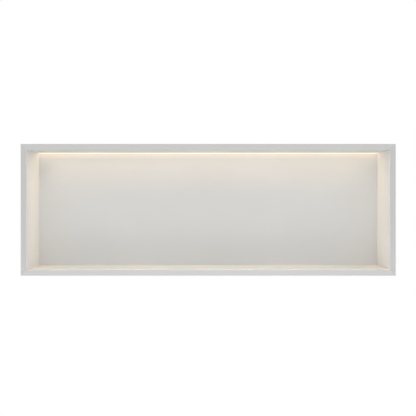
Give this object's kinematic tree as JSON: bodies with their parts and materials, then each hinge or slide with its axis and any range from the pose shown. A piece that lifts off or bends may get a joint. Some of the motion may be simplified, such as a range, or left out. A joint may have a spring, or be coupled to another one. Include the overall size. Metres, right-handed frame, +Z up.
{
  "type": "shower niche insert",
  "caption": "Wide recessed shower niche of white coated folded steel with a flat rim, and a warm light line set flush in its ceiling along the back.",
  "frame": {"origin": "centre of the opening, in the plane where the rim's turned-back edge bears on the finished wall", "axes": "+X along the niche to the right as seen from the front, +Y into the wall, +Z up"},
  "size_m": [0.925, 0.1, 0.325],
  "materials": {
    "white_coat": "satin",
    "anodised_aluminium": "satin",
    "opal_diffuser": "satin",
    "white_moulding": "matte",
    "strip_film": "satin",
    "diode": "gloss",
    "resistor": "satin",
    "spring_steel": "satin",
    "rivet_aluminium": "satin",
    "black_rubber": "matte",
    "grey_foam": "matte"
  },
  "bodies": {
    "root": {"niche_body": "white_coat", "light_channel": "anodised_aluminium", "light_diffuser": "opal_diffuser", "end_cap_left": "white_moulding", "end_cap_right": "white_moulding", "light_strip": "strip_film", "strip_diodes": "diode", "strip_resistors": "resistor", "spring_clip_1": "spring_steel", "spring_clip_2": "spring_steel", "spring_clip_3": "spring_steel", "spring_clip_4": "spring_steel", "clip_rivet_1": "rivet_aluminium", "clip_rivet_2": "rivet_aluminium", "clip_rivet_3": "rivet_aluminium", "clip_rivet_4": "rivet_aluminium", "cable_grommet": "black_rubber", "rim_seal_top": "grey_foam", "rim_seal_bottom": "grey_foam", "rim_seal_left": "grey_foam", "rim_seal_right": "grey_foam"}
  },
  "joints": []
}
